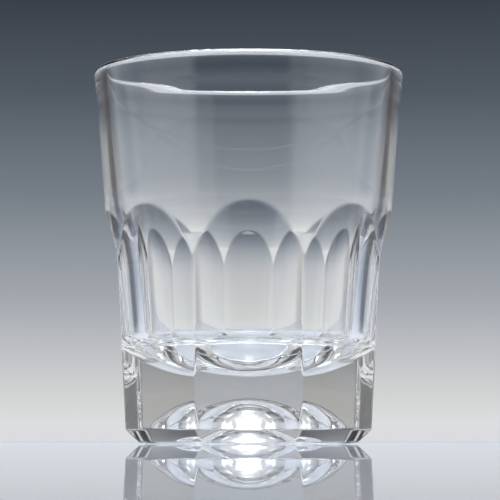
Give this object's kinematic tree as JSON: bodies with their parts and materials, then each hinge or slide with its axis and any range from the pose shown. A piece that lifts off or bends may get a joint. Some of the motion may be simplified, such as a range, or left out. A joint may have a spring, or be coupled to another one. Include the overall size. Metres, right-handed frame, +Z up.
{
  "type": "whisky tumbler",
  "caption": "Clear pressed-glass whisky tumbler with a tapered round body, arched flutes, a heavy octagonal base hollowed by a dome and a rounded lip.",
  "frame": {"origin": "centre of the foot, on the surface that the glass stands on", "axes": "+Z up along the axis of the glass; one flute faces -Y and one faces +X"},
  "size_m": [0.0828, 0.0828, 0.1],
  "materials": {
    "glass": "clear, fire-polished"
  },
  "bodies": {
    "root": {"tumbler_glass": "glass"}
  },
  "joints": []
}
